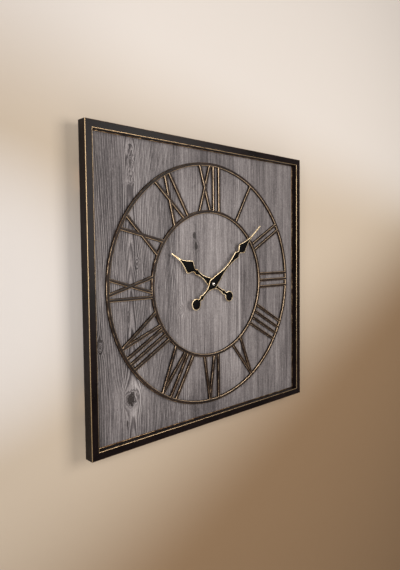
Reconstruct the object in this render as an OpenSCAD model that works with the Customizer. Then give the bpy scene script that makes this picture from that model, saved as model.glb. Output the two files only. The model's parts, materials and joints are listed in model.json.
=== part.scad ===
// Square wall clock: a mitred frame round three vertical planks, an open dial of
// two rings and twelve Roman numerals, spade hands and a quartz movement behind.
//
// X runs to the right as the clock is seen, Z up, and the wall is the plane Y = 0.
// The clock hangs in front of the wall, at negative Y. The hand axis is X = Z = 0.
// Depths below are distances in front of the wall, so a depth d lies at Y = -d.
// Positions across the clock are [x, z] pairs, and all lengths are millimetres.

/* [Frame] */
// Overall width of the frame
frame_w = 600; // [480:10:720]
// Overall height of the frame
frame_h = 600; // [480:10:720]
// Depth of the rails, front to back
frame_d = 22.5; // [18:0.5:30]
// Width of the rails' front face
rail_face = 14.5; // [12:0.5:22]

/* [Planks] */
// Thickness of the planks
plank_t = 7; // [5:0.5:12]
// Gap between two planks
plank_gap = 0.6; // [0.2:0.1:2]

/* [Back] */
// Width of the battens
batten_w = 40; // [32:1:60]
// Distance from the frame's top or bottom edge to a batten's middle
batten_inset = 100; // [90:5:130]
// How far a batten stops short of the frame's outer side
batten_end_gap = 8.5; // [3:0.5:9]
// Thickness of the felt pads that touch the wall
pad_t = 3; // [2:0.5:4]
// Diameter of the felt pads
pad_d = 22; // [16:1:28]
// Thickness of the flat steel plates
plate_t = 1.5; // [1:0.1:2]
// Length of a corner plate's leg
corner_leg = 60; // [45:1:75]
// Width of a corner plate's leg
corner_leg_w = 10; // [8:0.5:10]

/* [Hanger] */
// Width of the hanger plate
hanger_w = 70; // [60:1:90]
// Height of the hanger plate
hanger_h = 34; // [32:1:38]
// Diameter of the keyhole where the wall screw's head enters
keyhole_d = 10; // [8:0.5:11]
// Width of the keyhole's slot
slot_w = 5; // [4:0.25:5.5]
// Travel up the slot, from the head hole's middle
slot_rise = 10; // [8:0.5:12]

/* [Dial] */
// Gap between the frame's inner edge and the outer ring
dial_margin = 26.5; // [10:0.5:50]
// Width of the rings' front face
ring_w = 7; // [5:0.5:10]
// Height of the rings and numerals above the planks
ring_d = 6; // [3:0.5:6.5]
// Length of the numerals, from ring to ring
numeral_len = 93; // [60:1:110]
// Width of a numeral's stroke
stroke_w = 6.5; // [4:0.25:8]
// Diameter of the pins that hold the dial
pin_d = 2.5; // [1.5:0.1:3.5]

/* [Hands] */
// Reach of the minute hand
minute_reach = 200; // [150:5:220]
// Reach of the hour hand
hour_reach = 129; // [100:1:150]
// Thickness of the hands
hand_t = 1.2; // [0.6:0.1:1.4]
// Minute hand's place at rest, in degrees clockwise from twelve
minute_at = 50; // [0:1:359]
// Hour hand's place at rest, in degrees clockwise from twelve
hour_at = 301; // [0:1:359]

/* [Movement] */
// Width and height of the movement's case
case_w = 56; // [56:0.5:60]
// Depth of the movement's case
case_d = 15.5; // [15.5:0.5:18]
// Wall of the movement's case
case_wall = 1.2; // [0.8:0.1:1.2]
// Gap between the movement's back and the wall
wall_clear = 1.7; // [1.5:0.1:6]
// Thickness of the rubber gasket
gasket_t = 0.8; // [0.5:0.1:1.5]
// Diameter of the threaded stem
stem_d = 8; // [7.5:0.1:9]
// Diameter of the hour pipe
pipe_d = 5; // [4.4:0.1:5.2]
// Diameter of the minute arbor
arbor_d = 3; // [2.6:0.1:3.2]
// Diameter of the battery cell
cell_d = 14.2; // [13.7:0.1:14.4]
// Length of the battery cell, with its button
cell_len = 50.5; // [49.5:0.1:51]

/* [Clearances] */
// Radial clearance of a shaft that turns in a bore
run_gap = 0.05; // [0.02:0.01:0.08]
// Radial clearance of a fixed pin or screw in its hole
pin_gap = 0.1; // [0.05:0.01:0.2]
// Radial clearance of the stem in the centre plank
stem_gap = 0.25; // [0.1:0.05:0.5]

/* [Hidden] */
$fn = 64;
over = 1;                   // how far a cutter runs past what it cuts

// Depths of the main layers, in front of the wall
plank_back = case_d + gasket_t + wall_clear;
plank_front = plank_back + plank_t;
frame_front = plank_back + frame_d;
ring_front = plank_front + ring_d;
batten_t = plank_back - pad_t;

// The opening inside the frame, and the planks in it
open_w = frame_w - 2 * rail_face;
open_h = frame_h - 2 * rail_face;
plank_w = (open_w - 2 * plank_gap) / 3;
plank_step = plank_w + plank_gap;

// Radii of the dial
outer_r = min(open_w, open_h) / 2 - dial_margin;
numeral_top = outer_r - ring_w;
numeral_foot = numeral_top - numeral_len;
pin_bite = plank_t - 2;
outer_pins = [for (k = [0:11]) let (a = 15 + 30 * k) (outer_r - ring_w / 2) * [sin(a), cos(a)]];
inner_pins = [for (k = [0:5]) let (a = 60 * k) (numeral_foot - ring_w / 2) * [sin(a), cos(a)]];

// Battens, pads and fasteners
batten_z = frame_h / 2 - batten_inset;
batten_half = frame_w / 2 - batten_end_gap;
pad_inset = 28;
pad_x = batten_half - pad_inset;
screw_d = 3;
screw_bite = plank_t - 2;
head_d = 6;
head_h = 1.8;
rail_bite = 12;
rail_mid = frame_w / 2 - (batten_end_gap + rail_face) / 2;
plank_screw_x = [for (k = [-1:1], s = [-1, 1]) k * plank_step + s * plank_w / 4];
rail_screw_x = [-rail_mid, rail_mid];
small_d = 2.4;
small_head_d = 4.6;
small_head_h = 1.2;
small_bite = 9;
tip_gap = 0.5;              // how far a screw's tip stops short of its hole's end
plate_corner_r = 4;
plate_screw_inset = 8;
hanger_screw_x = hanger_w / 2 - plate_screw_inset;
hanger_screws = [[-hanger_screw_x, batten_z], [hanger_screw_x, batten_z]];
keyhole_z = batten_z - slot_rise / 2;
keyhole_pocket = 9;
pocket_margin = 2;

// Stations in the movement, from its back, as [near the wall, far from the wall]
cover_t = 1.4;
front_t = 1.6;
bay_floor = 0.8;
case_front = case_d - front_t;
plate_at = [2.6, 3.6];
rotor_pinion_at = [3.9, 5.1];
intermediate_wheel_at = [4.1, 4.9];
intermediate_pinion_at = [5.6, 6.8];
seconds_wheel_at = [5.8, 6.6];
seconds_pinion_at = [7.4, 8.6];
third_wheel_at = [7.6, 8.4];
collar_at = [8.75, 9.35];
third_pinion_at = [9.2, 10.4];
centre_wheel_at = [9.4, 10.2];
cannon_pinion_at = [10.25, 11.95];
minute_wheel_at = [11, 11.8];
knob_pinion_at = [10.9, 11.9];
hour_wheel_at = [case_front - 1.4, case_front - 0.6];
minute_pinion_at = [hour_wheel_at[0] - 0.2, hour_wheel_at[1] + 0.1];
magnet_at = [9.2, 11.8];
stator_at = [10, 11];
core_at = [9, 10];
contact_at = [3, 12];
leaf_at = [5, 10];
notch_at = [10.8, case_front];
strip_at = [case_front - 1.4, case_front - 0.3];

// Teeth and modules of the going train and the motion work
pinion_teeth = 8;
intermediate_teeth = 48;
seconds_teeth = 40;
third_teeth = 60;
centre_teeth = 64;
cannon_teeth = 12;
minute_teeth = 36;
minute_pinion_teeth = 10;
hour_teeth = 40;
rotor_mod = 0.25;
seconds_mod = 0.3;
third_mod = 0.25;
centre_mod = 0.292;
minute_mod = 0.4;
hour_mod = minute_mod * (cannon_teeth + minute_teeth) / (minute_pinion_teeth + hour_teeth);
// Tooth forms: half widths at tip and root as shares of half a pitch, then the
// height above and the depth below the pitch circle in modules
wheel_form = [0.28, 0.75, 0.8, 1.2];
pinion_form = [0.26, 0.62, 0.7, 1.15];

// Directions from each wheel's middle to the next, anticlockwise from +X
to_third = 60;
to_seconds = -20;
to_intermediate = 45;
to_rotor = 140;
to_minute = 195;
to_knob = 165;
function along(p, r, a) = p + r * [cos(a), sin(a)];
function apart(mod, a, b) = mod * (a + b) / 2;
hand_axis = [0, 0];
third_p = along(hand_axis, apart(centre_mod, centre_teeth, pinion_teeth), to_third);
seconds_p = along(third_p, apart(third_mod, third_teeth, pinion_teeth), to_seconds);
intermediate_p = along(seconds_p, apart(seconds_mod, seconds_teeth, pinion_teeth), to_intermediate);
rotor_p = along(intermediate_p, apart(rotor_mod, intermediate_teeth, pinion_teeth), to_rotor);
minute_p = along(hand_axis, apart(minute_mod, cannon_teeth, minute_teeth), to_minute);
knob_p = along(minute_p, apart(minute_mod, cannon_teeth, minute_teeth), to_knob);

// Shafts of the movement
wheel_shaft_r = 0.5;
pivot_r = 0.35;
pivot_depth = 0.8;
stud_r = 0.6;
rear_pivot_r = 0.8;
collar_r = 2.4;
knob_shaft_r = 1.2;
knob_r = 5;
knob_t = 1.1;
magnet_r = 1.9;
end_play = 0.1;

// The battery bay, the plates and the pillars
bay_gap = 0.3;
bay_foot = -case_w / 2 + case_wall;
bay_top = bay_foot + cell_d + 2 * bay_gap;
cover_foot = bay_top;
train_foot = bay_top + case_wall;
cell_z = (bay_foot + bay_top) / 2;
cell_at = case_d - bay_floor - 0.2 - cell_d / 2;
contact_t = 0.4;
contact_x = case_w / 2 - case_wall;
case_corner_r = 3;
cover_lip = 0.8;
train_plate_foot = train_foot + 0.3;
train_plate_from = -8;
train_plate_top = 19.2;
pillars = [[12, -8.2], [-5.5, 15.7], [contact_x - cover_lip - 1.4, 16.5]];
pillar_r = 1.2;
train_screw_r = 0.6;
train_screw_bite = 3;
train_head_t = 0.8;
coil_z = 23.1;
coil_from = -7;
coil_to = 18;
flange_t = 0.8;
flange_r = 3;
bobbin_r = 1.6;
winding_r = 2.7;
core_half = 1;              // half the width of the coil's iron core
core_gap = 0.05;
arm_w = 4;                  // the stator's two arms
arm_clear = 1;
blade_half = 3.1;           // half the width of its blade at the rotor
pole_gap = 0.5;
board_from = [-26.3, 6];
board_to = [-14.5, 18];
board_t = 1.2;
tab_at = [11, case_front - board_t];
chip_p = [-18.5, 12];
chip_r = 2.5;
chip_h = 0.8;
crystal_r = 1;
crystal_len = 6;
crystal_foot = 9;
contact_inset = 1.5;
contact_tab = 2;
notch_w = 1;                // the notches that let the contacts past the bay's upper wall
strip_w = 0.4;
leaf_w = 0.6;
leaf_rise = 4;
button_len = 1.3;
button_r = 2.7;

// Depths of the parts on the stem
washer_t = 0.8;
nut_t = 2.5;
nut_across = 12;
stem_end = plank_front + washer_t + nut_t + 1;
stem_flange_r = 6;
stem_flange_t = 0.8;
gasket_r = 13;
washer_r = 8;
hour_hand_at = max(ring_front + 0.9, stem_end + 1.8);
minute_hand_at = hour_hand_at + hand_t + 1.3;
cap_at = minute_hand_at + hand_t + 0.1;
cap_d = 7.6;
cap_h = 3.2;
cap_bore = 2;

// Extrudes a shape drawn in X and Z between two depths in front of the wall
module slab(d0, d1) {
    translate([0, -d0, 0]) rotate([90, 0, 0]) linear_extrude(d1 - d0) children();
}

// The same, at a pair of stations counted from the movement's back
module layer(at) {
    slab(wall_clear + at[0], wall_clear + at[1]) children();
}

// A round bar along Y at p, between two depths
module bar(p, r, d0, d1) {
    slab(d0, d1) translate(p) circle(r);
}

// A round bar along Y at p, between two stations of the movement
module shaft(p, r, s0, s1) {
    layer([s0, s1]) translate(p) circle(r);
}

// A rectangle from one corner to the other
module area(from, to) {
    translate(from) square([to[0] - from[0], to[1] - from[1]]);
}

// A rectangle with round corners, drawn about the origin
module round_area(w, h, r) {
    square([w - 2 * r, h], center = true);
    square([w, h - 2 * r], center = true);
    for (x = [-1, 1], y = [-1, 1]) translate([x * (w / 2 - r), y * (h / 2 - r)]) circle(r);
}

// Turns a profile of [radius, height] points about Y, its foot at depth d0, towards the front
module turned(p, d0, profile) {
    translate([p[0], -d0, p[1]]) rotate([90, 0, 0]) rotate_extrude() polygon(profile);
}

// A domed head of radius r and height h as [radius, height] points
function dome(r, h, steps = 6) = concat([[0, 0], [r, 0]],
    [for (i = [0:steps]) let (a = 90 * i / steps) [r * cos(a), h * (0.35 + 0.65 * sin(a))]]);

// A pan-head screw that points away from the wall; its head sits on depth d
module screw(p, d, r, head_r, head_t, length) {
    bar(p, r, d - head_t / 2, d + length);
    turned_back(p, d, dome(head_r, head_t));
}

// A profile turned about Y with its foot at depth d0, towards the wall
module turned_back(p, d0, profile) {
    translate([p[0], -d0, p[1]]) rotate([-90, 0, 0]) rotate_extrude() polygon(profile);
}

// ---- Frame -----------------------------------------------------------------

// One mitred rail: length along X, outer face at the bottom, before it is turned
module rail(length, other) {
    color("#241c1c") slab(plank_back, frame_front)
        polygon([[-length / 2, -other / 2], [length / 2, -other / 2],
                 [length / 2 - rail_face, -other / 2 + rail_face],
                 [-length / 2 + rail_face, -other / 2 + rail_face]]);
}

// Pilot holes in the rails for the battens' end screws and the corner plates' screws
module rail_holes() {
    for (x = rail_screw_x, z = [-batten_z, batten_z])
        bar([x, z], screw_d / 2 + pin_gap, plank_back - over, plank_back + rail_bite + tip_gap);
    for (p = corner_screw_points())
        bar(p, small_d / 2 + pin_gap, plank_back - over, plank_back + small_bite + tip_gap);
}

module frame_bottom_rail() {
    difference() {
        rail(frame_w, frame_h);
        rail_holes();
    }
}

module frame_top_rail() {
    difference() {
        rotate([0, 180, 0]) rail(frame_w, frame_h);
        rail_holes();
    }
}

module frame_left_rail() {
    difference() {
        rotate([0, 90, 0]) rail(frame_h, frame_w);
        rail_holes();
    }
}

module frame_right_rail() {
    difference() {
        rotate([0, -90, 0]) rail(frame_h, frame_w);
        rail_holes();
    }
}

// ---- Planks ----------------------------------------------------------------

// One plank, k places to the right of the centre one, with its blind holes
module plank(k) {
    color("#8f8782") difference() {
        slab(plank_back, plank_front)
            translate([k * plank_step, 0]) square([plank_w, open_h], center = true);
        for (x = plank_screw_x, z = [-batten_z, batten_z])
            bar([x, z], screw_d / 2 + pin_gap, plank_back - over, plank_back + screw_bite + tip_gap);
        for (p = concat(outer_pins, inner_pins))
            bar(p, pin_d / 2 + pin_gap, plank_front - pin_bite, plank_front + over);
        bar(hand_axis, stem_d / 2 + stem_gap, plank_back - over, plank_front + over);
    }
}

module plank_left() { plank(-1); }
module plank_centre() { plank(0); }
module plank_right() { plank(1); }

// ---- Back ------------------------------------------------------------------

// One batten at height z, with clear holes for its screws
module batten(z) {
    color("#a98e68") difference() {
        slab(pad_t, plank_back)
            translate([0, z]) square([2 * batten_half, batten_w], center = true);
        for (x = concat(plank_screw_x, rail_screw_x))
            bar([x, z], screw_d / 2 + pin_gap, pad_t - over, plank_back + over);
    }
}

module batten_upper() {
    difference() {
        batten(batten_z);
        slab(pad_t - over, pad_t + keyhole_pocket)
            translate([0, batten_z])
            square([keyhole_d + 2 * pocket_margin, slot_rise + keyhole_d + 2 * pocket_margin], center = true);
        for (p = hanger_screws)
            bar(p, small_d / 2 + pin_gap, pad_t - over, pad_t + small_bite + tip_gap);
    }
}

module batten_lower() { batten(-batten_z); }

module batten_screws() {
    color("#c9b370") for (z = [-batten_z, batten_z]) {
        for (x = plank_screw_x)
            screw([x, z], pad_t, screw_d / 2, head_d / 2, head_h, batten_t + screw_bite);
        for (x = rail_screw_x)
            screw([x, z], pad_t, screw_d / 2, head_d / 2, head_h, batten_t + rail_bite);
    }
}

// The screws' places on one corner plate, measured from the frame's corner
function leg_points() = [for (t = [corner_leg / 2, corner_leg - plate_screw_inset], s = [0, 1])
    let (m = rail_face / 2) s == 0 ? [t, m] : [m, t]];
function corner_screw_points() = [for (sx = [-1, 1], sz = [-1, 1], q = leg_points())
    [sx * (frame_w / 2 - q[0]), sz * (frame_h / 2 - q[1])]];

module corner_plates() {
    inset = (rail_face - corner_leg_w) / 2;
    color("#8d8f92") difference() {
        slab(plank_back - plate_t, plank_back)
            for (sx = [0, 1], sz = [0, 1])
                mirror([sx, 0]) mirror([0, sz])
                    translate([-frame_w / 2 + inset, -frame_h / 2 + inset]) {
                        square([corner_leg, corner_leg_w]);
                        square([corner_leg_w, corner_leg]);
                    }
        for (p = corner_screw_points())
            bar(p, small_d / 2 + pin_gap, plank_back - plate_t - over, plank_back + over);
    }
}

// The small screws of the corner plates and of the hanger plate
module plate_screws() {
    color("#b8b9ba") {
        for (p = corner_screw_points())
            screw(p, plank_back - plate_t, small_d / 2, small_head_d / 2, small_head_h,
                  plate_t + small_bite);
        for (p = hanger_screws)
            screw(p, pad_t - plate_t, small_d / 2, small_head_d / 2, small_head_h,
                  plate_t + small_bite);
    }
}

module hanger_plate() {
    color("#9a9b9e") difference() {
        slab(pad_t - plate_t, pad_t)
            translate([0, batten_z]) round_area(hanger_w, hanger_h, plate_corner_r);
        bar([0, keyhole_z], keyhole_d / 2, 0, pad_t + over);
        slab(0, pad_t + over)
            translate([-slot_w / 2, keyhole_z]) square([slot_w, slot_rise]);
        bar([0, keyhole_z + slot_rise], slot_w / 2, 0, pad_t + over);
        for (p = hanger_screws)
            bar(p, small_d / 2 + pin_gap, 0, pad_t + over);
    }
}

module wall_pads() {
    color("#4b4a48")
        for (x = [-pad_x, pad_x], z = [-batten_z, batten_z])
            bar([x, z], pad_d / 2, 0, pad_t);
}

// ---- Dial ------------------------------------------------------------------

module dial_ring(r) {
    color("#3a2d24") slab(plank_front, ring_front) difference() {
        circle(r, $fn = 180);
        circle(r - ring_w, $fn = 180);
    }
}

module dial_outer_ring() { dial_ring(outer_r); }
module dial_inner_ring() { dial_ring(numeral_foot); }

// The pins stand in the planks and end at the rings' backs
module dial_pins() {
    color("#b08d4c")
        for (p = concat(outer_pins, inner_pins))
            bar(p, pin_d / 2, plank_front - pin_bite + pin_gap, plank_front);
}

// Strokes as [offset at the outer ring, offset at the inner ring], clockwise positive.
// They are drawn for a foot radius of drawn_foot and close up with the room at the foot.
drawn_foot = 159;
vee_spread = 14;
ex_spread = 14;
function drawn(offsets) = offsets * numeral_foot / drawn_foot;
function upright(x) = [drawn([x, x])];
function vee(x) = [drawn([x, x - vee_spread]), drawn([x, x + vee_spread])];
function ex(x) = [drawn([x - ex_spread, x + ex_spread]), drawn([x + ex_spread, x - ex_spread])];
numerals = [
    upright(0),
    concat(upright(-7.5), upright(7.5)),
    concat(upright(-15.5), upright(0), upright(15.5)),
    concat(upright(-24), upright(-8), upright(8), upright(24)),
    vee(0),
    concat(upright(-20), vee(6)),
    concat(upright(-29), upright(-14), vee(9)),
    concat(upright(-34), upright(-20), upright(-6), vee(17)),
    concat(upright(-18), ex(6)),
    ex(0),
    concat(ex(-8), upright(18)),
    concat(ex(-15), upright(10), upright(26))
];

// One stroke, run on past both rings; its width is measured square to it
module stroke(offsets) {
    lean = (offsets[0] - offsets[1]) / numeral_len;
    half = stroke_w / 2 * sqrt(1 + lean * lean);
    run = ring_w;
    low = offsets[1] - lean * run;
    high = offsets[0] + lean * run;
    foot = numeral_foot - run;
    top = numeral_top + run;
    polygon([[low - half, foot], [low + half, foot], [high + half, top], [high - half, top]]);
}

module numeral(hour) {
    color("#3a2d24") slab(plank_front, ring_front) rotate(-30 * hour) intersection() {
        difference() {
            circle(numeral_top, $fn = 180);
            circle(numeral_foot, $fn = 180);
        }
        for (offsets = numerals[hour - 1]) stroke(offsets);
    }
}

// ---- Movement: what stays still --------------------------------------------

module case_outline() { round_area(case_w, case_w, case_corner_r); }

module movement_case() {
    color("#232325") difference() {
        layer([0, case_d]) case_outline();
        // the seat of the rear cover
        layer([-over, cover_t]) area([-case_w, cover_foot], [case_w, case_w]);
        // the train's room and the battery bay
        layer([-over, case_front])
            area([-contact_x, train_foot], [contact_x, case_w / 2 - case_wall]);
        layer([-over, case_d - bay_floor]) area([-contact_x, bay_foot], [contact_x, bay_top]);
        // notches where the contacts pass the bay's upper wall
        layer(notch_at)
            for (s = [-1, 1])
                translate([s * (contact_x - notch_w / 2), (bay_top + train_foot) / 2])
                    square([notch_w, 2 * case_wall + strip_w], center = true);
        // the stem's hole with the seat of its flange
        shaft(hand_axis, stem_d / 2, case_front - over, case_d + over);
        shaft(hand_axis, stem_flange_r, case_front - over, case_front + stem_flange_t);
        // blind bores of the front pivots
        for (p = [third_p, seconds_p, intermediate_p, rotor_p, knob_p])
            shaft(p, pivot_r + run_gap, case_front - over, case_front + pivot_depth + end_play);
    }
    // the pillars of the train plate and the stud of the minute wheel
    color("#232325") {
        for (p = pillars) difference() {
            shaft(p, pillar_r, plate_at[1], case_front);
            shaft(p, train_screw_r + pin_gap, plate_at[1] - over, plate_at[1] + train_screw_bite + tip_gap);
        }
        shaft(minute_p, stud_r, minute_wheel_at[0] - 0.3, case_front);
    }
}

module movement_cover() {
    color("#2b2b2d") difference() {
        union() {
            layer([0, cover_t]) intersection() {
                case_outline();
                area([-case_w, cover_foot], [case_w, case_w]);
            }
            layer([cover_t, cover_t + cover_lip]) difference() {
                area([-contact_x + pin_gap, train_foot + pin_gap],
                     [contact_x - pin_gap, contact_x - pin_gap]);
                area([-contact_x + cover_lip, train_foot + cover_lip],
                     [contact_x - cover_lip, contact_x - cover_lip]);
            }
        }
        shaft(knob_p, knob_shaft_r + run_gap, -over, cover_t + over);
    }
}

module train_plate() {
    color("#d8d4c8") difference() {
        layer(plate_at) area([train_plate_from, train_plate_foot], [contact_x - contact_t, train_plate_top]);
        for (p = [third_p, seconds_p, intermediate_p, rotor_p])
            shaft(p, pivot_r + run_gap, plate_at[0] - over, plate_at[1] + over);
        shaft(hand_axis, rear_pivot_r + run_gap, plate_at[0] - over, plate_at[1] + over);
        for (p = pillars)
            shaft(p, train_screw_r + pin_gap, plate_at[0] - over, plate_at[1] + over);
    }
}

module train_screws() {
    color("#c8c8c8")
        for (p = pillars) {
            shaft(p, train_screw_r, plate_at[0] - train_head_t / 2, plate_at[1] + train_screw_bite);
            shaft(p, pillar_r, plate_at[0] - train_head_t, plate_at[0]);
        }
}

module threaded_stem() {
    color("#c7a34a") difference() {
        union() {
            shaft(hand_axis, stem_flange_r, case_front, case_front + stem_flange_t);
            bar(hand_axis, stem_d / 2, wall_clear + case_front, stem_end);
        }
        bar(hand_axis, pipe_d / 2 + run_gap, 0, stem_end + over);
    }
}

// A flat ring on the stem between two depths
module stem_ring(r, d0, d1) {
    slab(d0, d1) difference() {
        circle(r);
        circle(stem_d / 2 + pin_gap);
    }
}

module rubber_gasket() { color("#181818") stem_ring(gasket_r, wall_clear + case_d, plank_back); }
module brass_washer() { color("#c7a34a") stem_ring(washer_r, plank_front, plank_front + washer_t); }

module hex_nut() {
    color("#c7a34a") slab(plank_front + washer_t, plank_front + washer_t + nut_t) difference() {
        circle(nut_across / sqrt(3), $fn = 6);
        circle(stem_d / 2 + pin_gap);
    }
}

// The stator's blade, its two arms and the iron core that the coil sits on
module stator() {
    blade_foot = rotor_p[1] - blade_half;
    blade_top = rotor_p[1] + blade_half;
    left = coil_from - flange_t - arm_clear - arm_w;
    right = coil_to + flange_t + arm_clear + arm_w;
    color("#7d8287") {
        layer(stator_at) difference() {
            union() {
                area([left, blade_foot], [right, blade_top]);
                area([left, blade_foot], [left + arm_w, coil_z + 2 * core_half]);
                area([right - arm_w, blade_foot], [right, coil_z + 2 * core_half]);
            }
            translate(rotor_p) circle(magnet_r + pole_gap);
            for (p = pillars) translate(p) circle(pillar_r + pin_gap);
        }
        layer(core_at) area([left, coil_z - core_half], [right, coil_z + core_half]);
    }
}

// A round bar along X about the coil's axis
module coil_bar(r, x0, x1) {
    mid = (core_at[0] + core_at[1]) / 2;
    translate([x0, -(wall_clear + mid), coil_z]) rotate([0, 90, 0]) cylinder(h = x1 - x0, r = r);
}

module coil_bobbin() {
    color("#e6e2d4") difference() {
        union() {
            coil_bar(flange_r, coil_from - flange_t, coil_from);
            coil_bar(flange_r, coil_to, coil_to + flange_t);
            coil_bar(bobbin_r, coil_from - flange_t, coil_to + flange_t);
        }
        layer([core_at[0] - core_gap, core_at[1] + core_gap])
            area([coil_from - flange_t - over, coil_z - core_half - core_gap],
                 [coil_to + flange_t + over, coil_z + core_half + core_gap]);
    }
}

module coil_winding() {
    color("#b4642a") difference() {
        coil_bar(winding_r, coil_from + pin_gap, coil_to - pin_gap);
        coil_bar(bobbin_r + pin_gap / 2, coil_from - over, coil_to + over);
    }
}

// The board with the round cover over its chip
module circuit_board() {
    color("#2f6b3c") layer([case_front - board_t, case_front]) area(board_from, board_to);
    color("#1a1a1a")
        turned_back(chip_p, wall_clear + case_front - board_t, dome(chip_r, chip_h));
}

module quartz_crystal() {
    color("#cfd2d4")
        translate([board_from[0] + 2.4, -(wall_clear + case_front - board_t - crystal_r), crystal_foot])
        cylinder(h = crystal_len, r = crystal_r);
}

module positive_contact() {
    color("#d9d9d6") {
        layer(contact_at)
            area([-contact_x, bay_foot + contact_inset], [-contact_x + contact_t, bay_top - contact_inset]);
        layer(tab_at)
            area([-contact_x, bay_top - contact_tab],
                 [-contact_x + notch_w, board_from[1] + contact_tab]);
    }
}

// The spring leaf behind the cell and the strip that runs to the board
module negative_contact() {
    leaf_tip = -contact_x + contact_t + cell_len;
    back = contact_x - contact_t;
    strip_foot = train_foot + strip_w;
    strip_end = board_from[0] + contact_inset;
    color("#d9d9d6") {
        layer(contact_at) area([back, bay_foot + contact_inset], [contact_x, bay_top - contact_inset]);
        layer(leaf_at) polygon([[back, cell_z - leaf_rise], [back, cell_z - leaf_rise - leaf_w],
            [leaf_tip, cell_z - leaf_w / 2], [leaf_tip, cell_z + leaf_w / 2],
            [back, cell_z + leaf_rise + leaf_w], [back, cell_z + leaf_rise], [leaf_tip + leaf_w, cell_z]]);
        layer([contact_at[1] - 1, strip_at[1]])
            area([back, bay_top - contact_tab], [contact_x, strip_foot + strip_w]);
        layer(strip_at) {
            area([strip_end, strip_foot], [contact_x, strip_foot + strip_w]);
            area([strip_end, strip_foot], [strip_end + strip_w, board_from[1]]);
        }
    }
}

module battery_cell() {
    from = -contact_x + contact_t;
    y = -(wall_clear + cell_at);
    color("#b9bcc0") translate([from, y, cell_z]) rotate([0, 90, 0]) {
        cylinder(h = button_len + over, r = button_r);
        translate([0, 0, button_len]) cylinder(h = cell_len - button_len, r = cell_d / 2);
    }
}

// ---- Movement: what turns --------------------------------------------------

// Outline of a toothed wheel: four points to a tooth
function teeth(n, mod, form) = let (r = mod * n / 2, rt = r + form[2] * mod, rr = r - form[3] * mod,
    half = 180 / n, at = [-form[1], -form[0], form[0], form[1]], radius = [rr, rt, rt, rr])
    [for (i = [0:n - 1], k = [0:3]) let (a = 360 * i / n + half * at[k]) radius[k] * [cos(a), sin(a)]];

// A toothed wheel at p; a tooth's middle lies in the direction phase
module wheel(p, n, mod, phase) { translate(p) rotate(phase) polygon(teeth(n, mod, wheel_form)); }
module pinion(p, n, mod, phase) { translate(p) rotate(phase) polygon(teeth(n, mod, pinion_form)); }

// The phase that turns a gap of n teeth back towards a wheel that lies behind direction a
function gap_back(n, a) = a + 180 + 180 / n;

// A shaft of the going train: its body between the plates and a pivot at each end
module train_shaft(p) {
    shaft(p, wheel_shaft_r, plate_at[1] + end_play, case_front - end_play);
    shaft(p, pivot_r, plate_at[0], case_front + pivot_depth);
}

module rotor() {
    color("#e8e8e4") {
        train_shaft(rotor_p);
        layer(rotor_pinion_at)
            pinion(rotor_p, pinion_teeth, rotor_mod, gap_back(pinion_teeth, to_rotor));
    }
    color("#4c4f55") shaft(rotor_p, magnet_r, magnet_at[0], magnet_at[1]);
}

module intermediate_wheel() {
    color("#efece2") {
        train_shaft(intermediate_p);
        layer(intermediate_wheel_at) wheel(intermediate_p, intermediate_teeth, rotor_mod, to_rotor);
        layer(intermediate_pinion_at) pinion(intermediate_p, pinion_teeth, seconds_mod,
            gap_back(pinion_teeth, to_intermediate));
    }
}

module seconds_wheel() {
    color("#e2dccb") {
        train_shaft(seconds_p);
        layer(seconds_wheel_at) wheel(seconds_p, seconds_teeth, seconds_mod, to_intermediate);
        layer(seconds_pinion_at)
            pinion(seconds_p, pinion_teeth, third_mod, gap_back(pinion_teeth, to_seconds));
    }
}

module third_wheel() {
    color("#efece2") {
        train_shaft(third_p);
        layer(third_wheel_at) wheel(third_p, third_teeth, third_mod, to_seconds);
        layer(third_pinion_at)
            pinion(third_p, pinion_teeth, centre_mod, gap_back(pinion_teeth, to_third));
    }
}

module centre_wheel() {
    color("#c7a34a") layer(centre_wheel_at) difference() {
        wheel(hand_axis, centre_teeth, centre_mod, to_third);
        circle(arbor_d / 2 + run_gap);
    }
}

module minute_arbor() {
    color("#b9bcc0") {
        shaft(hand_axis, rear_pivot_r, plate_at[0], plate_at[1] + over);
        bar(hand_axis, arbor_d / 2, wall_clear + plate_at[1] + end_play, cap_at + cap_bore - 0.2);
        shaft(hand_axis, collar_r, collar_at[0], collar_at[1]);
        layer(cannon_pinion_at)
            pinion(hand_axis, cannon_teeth, minute_mod, gap_back(cannon_teeth, to_minute + 180));
    }
}

module minute_wheel() {
    color("#efece2") difference() {
        union() {
            layer(minute_wheel_at) wheel(minute_p, minute_teeth, minute_mod, to_minute + 180);
            layer([minute_wheel_at[0], minute_pinion_at[1]]) pinion(minute_p, minute_pinion_teeth,
                hour_mod, gap_back(minute_pinion_teeth, to_minute));
        }
        shaft(minute_p, stud_r + run_gap, minute_wheel_at[0] - over, minute_pinion_at[1] + over);
    }
}

module hour_wheel() {
    color("#e2dccb") difference() {
        union() {
            layer(hour_wheel_at) wheel(hand_axis, hour_teeth, hour_mod, to_minute);
            bar(hand_axis, pipe_d / 2, wall_clear + hour_wheel_at[0], hour_hand_at + hand_t + 0.3);
        }
        bar(hand_axis, arbor_d / 2 + run_gap, 0, frame_front + over);
    }
}

module setting_knob() {
    // how far the minute wheel's tooth lies past the line to the knob
    past = to_minute + 180 - to_knob;
    phase = gap_back(cannon_teeth, to_knob) - past * minute_teeth / cannon_teeth;
    color("#3b3b3e") {
        shaft(knob_p, knob_r, -end_play - knob_t, -end_play);
        shaft(knob_p, knob_shaft_r, -end_play - knob_t / 2, knob_pinion_at[1]);
        layer(knob_pinion_at) pinion(knob_p, cannon_teeth, minute_mod, phase);
        shaft(knob_p, wheel_shaft_r, knob_pinion_at[0], case_front - end_play);
        shaft(knob_p, pivot_r, knob_pinion_at[0], case_front + pivot_depth);
    }
}

// ---- Hands -----------------------------------------------------------------

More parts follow.
